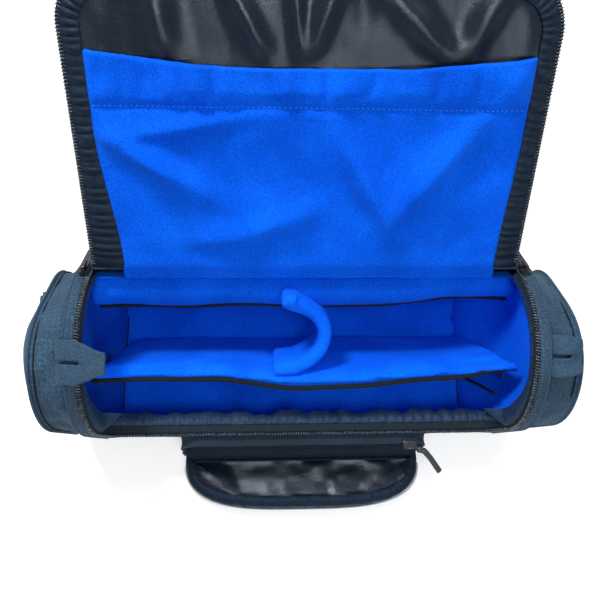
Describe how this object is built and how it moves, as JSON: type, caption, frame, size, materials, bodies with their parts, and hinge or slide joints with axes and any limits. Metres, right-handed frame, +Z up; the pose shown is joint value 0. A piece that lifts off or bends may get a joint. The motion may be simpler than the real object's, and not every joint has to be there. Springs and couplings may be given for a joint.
{
  "type": "bowling ball bag",
  "caption": "Soft barrel-shaped bag with a padded fleece-lined inside, roll-over zipped lid, end pockets and a flap-front pocket.",
  "frame": {"origin": "middle of the flat base, on the floor", "axes": "X along the bag, +Y towards the lid's hinge at the rear, +Z up"},
  "size_m": [0.5294, 0.4219, 0.3436],
  "materials": {
    "outer_fabric": "woven grid, matte",
    "fleece": "brushed loop fleece",
    "foam": "closed-cell padding",
    "board": "stiffener",
    "satin": "glossy lining",
    "tape": "woven tape",
    "coil": "moulded coil",
    "webbing": "folded woven strip",
    "slider_metal": "black enamel",
    "pull_rubber": "moulded, satin",
    "hook_tape": "hook tape",
    "binding": "piped seam"
  },
  "bodies": {
    "bag": {"base_board": "board", "base_foam": "foam", "base_lining": "fleece", "base_shell": "outer_fabric", "body_zip_coil": "coil", "body_zip_tape": "tape", "cross_divider": "fleece", "divider_tabs": "hook_tape", "front_foam": "foam", "front_lining": "fleece", "front_pocket_coil": "coil", "front_pocket_lining": "satin", "front_pocket_wall": "outer_fabric", "front_shell": "outer_fabric", "hinge_strip": "binding", "left_end_foam": "foam", "left_end_lining": "fleece", "left_end_shell": "outer_fabric", "left_face_zip": "coil", "left_pocket_face": "outer_fabric", "left_pocket_piping": "binding", "left_pocket_wall": "outer_fabric", "long_divider": "fleece", "rear_bolster": "fleece", "rear_foam": "foam", "rear_lining": "fleece", "rear_shell": "outer_fabric", "right_end_foam": "foam", "right_end_lining": "fleece", "right_end_shell": "outer_fabric", "right_face_zip": "coil", "right_loop": "webbing", "right_pocket_face": "outer_fabric", "right_pocket_piping": "binding", "right_pocket_wall": "outer_fabric", "zip_facing": "satin"},
    "lid_1": {"lid_panel_1": "outer_fabric", "lid_zip_1": "coil", "lid_fleece_1": "fleece"},
    "lid_2": {"lid_panel_2": "outer_fabric", "lid_zip_2": "coil", "lid_fleece_2": "fleece", "carry_handle": "webbing"},
    "lid_3": {"lid_panel_3": "outer_fabric", "lid_zip_3": "coil", "lid_fleece_3": "fleece"},
    "lid_4": {"lid_panel_4": "outer_fabric", "lid_zip_4": "coil"},
    "flap": {"flap_shell": "outer_fabric", "flap_lining": "satin", "flap_coil": "coil"},
    "left_slider": {"left_slider": "slider_metal"},
    "left_pull": {"left_pull": "slider_metal"},
    "left_face_slider": {"left_face_slider": "slider_metal"},
    "right_slider": {"right_slider": "slider_metal"},
    "right_pull": {"right_pull": "slider_metal"},
    "right_face_slider": {"right_face_slider": "slider_metal"},
    "pocket_slider": {"pocket_slider": "slider_metal"},
    "pocket_pull": {"pocket_pull": "pull_rubber"},
    "left_loop": {"left_loop": "webbing"}
  },
  "joints": [
    {"name": "lid_hinge", "type": "hinge", "parent": "bag", "child": "lid_1", "pos_m": [0, 0.06794, 0.17504], "axis": [1, 0, 0], "range_deg": [0, 110.35]},
    {"name": "lid_fold_1", "type": "hinge", "parent": "lid_1", "child": "lid_2", "pos_m": [0, 0.11459, 0.21704], "axis": [1, 0, 0], "range_deg": [0, 39.95]},
    {"name": "lid_fold_2", "type": "hinge", "parent": "lid_2", "child": "lid_3", "pos_m": [0, 0.16125, 0.25905], "axis": [1, 0, 0], "range_deg": [0, 39.95]},
    {"name": "lid_fold_3", "type": "hinge", "parent": "lid_3", "child": "lid_4", "pos_m": [0, 0.2079, 0.30106], "axis": [1, 0, 0], "range_deg": [0, 39.95]},
    {"name": "left_loop_turn", "type": "hinge", "parent": "bag", "child": "left_loop", "pos_m": [-0.2186, -0.02444, 0.19295], "axis": [0, -0.9563, -0.2924], "range_deg": [0, 84]},
    {"name": "flap_hinge", "type": "hinge", "parent": "bag", "child": "flap", "pos_m": [0, -0.10891, 0.00626], "axis": [-1, 0, 0], "range_deg": [0, 84.88]},
    {"name": "left_slider_travel", "type": "hinge", "parent": "bag", "child": "left_slider", "pos_m": [0, 0, 0.113], "axis": [1, 0, 0], "range_deg": [0, 130]},
    {"name": "left_pull_swing", "type": "hinge", "parent": "left_slider", "child": "left_pull", "pos_m": [-0.209, 0.06517, 0.18149], "axis": [1, 0, 0], "range_deg": [0, 110]},
    {"name": "left_face_slider_travel", "type": "slide", "parent": "bag", "child": "left_face_slider", "axis": [0, -1, 0], "range_m": [0, 0.09]},
    {"name": "right_slider_travel", "type": "hinge", "parent": "bag", "child": "right_slider", "pos_m": [0, 0, 0.113], "axis": [1, 0, 0], "range_deg": [0, 130]},
    {"name": "right_pull_swing", "type": "hinge", "parent": "right_slider", "child": "right_pull", "pos_m": [0.209, 0.06517, 0.18149], "axis": [1, 0, 0], "range_deg": [0, 110]},
    {"name": "right_face_slider_travel", "type": "slide", "parent": "bag", "child": "right_face_slider", "axis": [0, -1, 0], "range_m": [0, 0.09]},
    {"name": "pocket_slider_travel", "type": "slide", "parent": "bag", "child": "pocket_slider", "axis": [-1, 0, 0], "range_m": [0, 0.224]},
    {"name": "pocket_pull_swing", "type": "hinge", "parent": "pocket_slider", "child": "pocket_pull", "pos_m": [0.1212, -0.1049, 0.0713], "axis": [0, -1, 0], "range_deg": [0, 110]}
  ],
  "couplings": [
    {"joint": "lid_fold_1", "follows": "lid_hinge", "ratio": 0.36158},
    {"joint": "lid_fold_2", "follows": "lid_hinge", "ratio": 0.36158},
    {"joint": "lid_fold_3", "follows": "lid_hinge", "ratio": 0.36158},
    {"joint": "left_loop_turn", "follows": "lid_hinge", "ratio": 0.76076}
  ]
}
